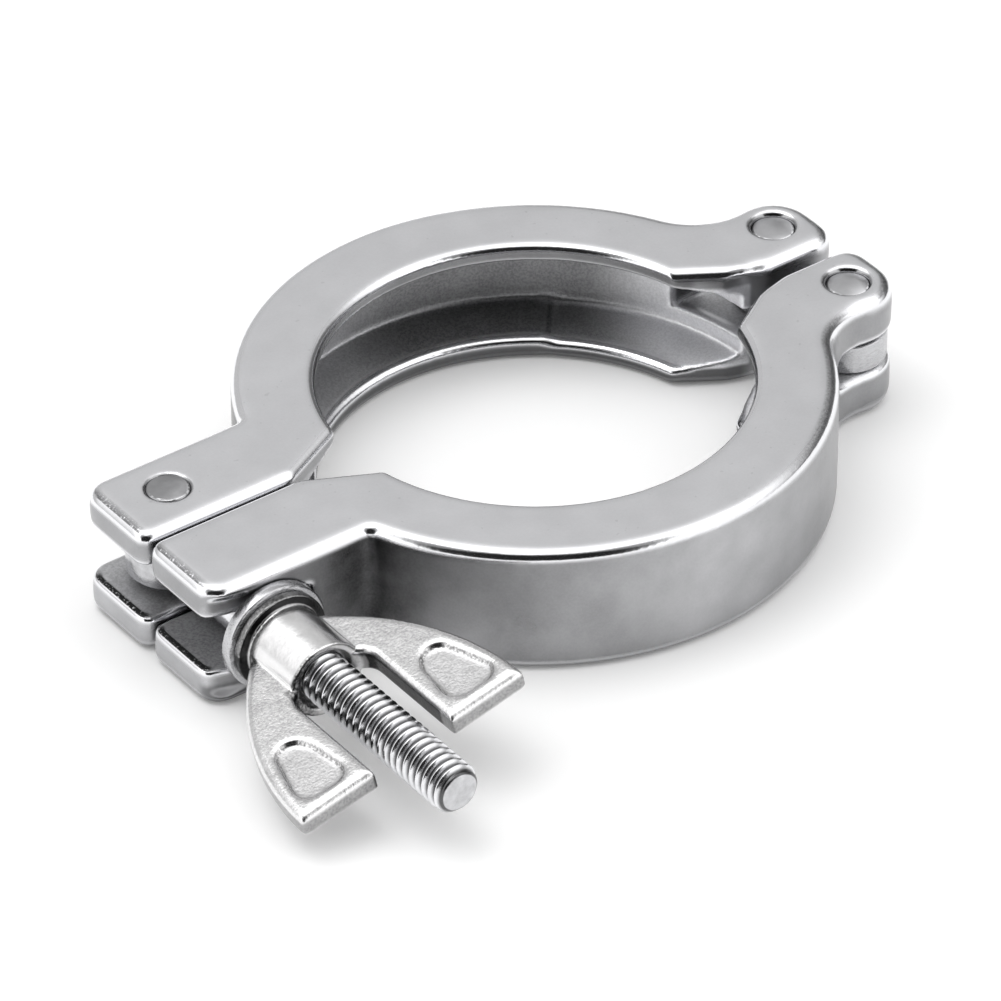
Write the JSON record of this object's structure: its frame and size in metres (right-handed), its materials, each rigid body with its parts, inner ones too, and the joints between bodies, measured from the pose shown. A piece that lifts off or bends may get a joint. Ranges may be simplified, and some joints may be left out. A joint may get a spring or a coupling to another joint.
{
  "type": "vacuum flange clamp",
  "caption": "Hinged two-part steel ring clamp with a wedge groove inside, closed by a swing bolt, washer and wing nut, joining small vacuum flanges",
  "frame": {"origin": "centre of the flange opening at half the clamp's height", "axes": "+Z along the flange axis, +X towards the hinge, -X towards the closure, -Y the side that the bolt end points to"},
  "size_m": [0.105, 0.0824, 0.016],
  "materials": {
    "cast_body": "cast stainless steel, tumbled to a satin sheen with bright rounded edges",
    "link_plate": "plain stamped stainless steel",
    "pin_end": "turned stainless steel with slightly darker ends",
    "bolt_steel": "bright machined stainless steel with rolled thread",
    "washer_steel": "bright stamped stainless steel",
    "nut_casting": "light cast stainless steel with grainy hollows"
  },
  "bodies": {
    "bolt_half": {"half_bolt_side": "cast_body", "closure_pin": "pin_end", "hinge_pin_bolt_side": "pin_end"},
    "link": {"hinge_link": "link_plate"},
    "nut_half": {"half_nut_side": "cast_body", "hinge_pin_nut_side": "pin_end"},
    "bolt": {"swing_bolt": "bolt_steel"},
    "washer": {"washer": "washer_steel"},
    "nut": {"wing_nut": "nut_casting"}
  },
  "joints": [
    {"name": "bolt_swing", "type": "hinge", "parent": "bolt_half", "child": "bolt", "pos_m": [-0.0456, 0.0065, 0], "axis": [0, 0, -1], "range_deg": [0, 110]},
    {"name": "washer_slide", "type": "slide", "parent": "bolt", "child": "washer", "axis": [0, -1, 0], "range_m": [0, 0.03]},
    {"name": "nut_turn", "type": "hinge", "parent": "washer", "child": "nut", "pos_m": [-0.0456, -0.0142, 0], "axis": [0, -1, 0], "range_deg": [0, 10800]},
    {"name": "link_swing", "type": "hinge", "parent": "bolt_half", "child": "link", "pos_m": [0.0394, 0.00695, 0], "axis": [0, 0, 1], "range_deg": [0, 45]},
    {"name": "half_swing", "type": "hinge", "parent": "link", "child": "nut_half", "pos_m": [0.0394, -0.00695, 0], "axis": [0, 0, 1], "range_deg": [0, 45]}
  ],
  "couplings": [
    {"joint": "washer_slide", "follows": "nut_turn", "m_per_rad": 0.00015915},
    {"joint": "link_swing", "follows": "nut_turn", "ratio": 0.00092593},
    {"joint": "half_swing", "follows": "nut_turn", "ratio": 0.00092593}
  ]
}
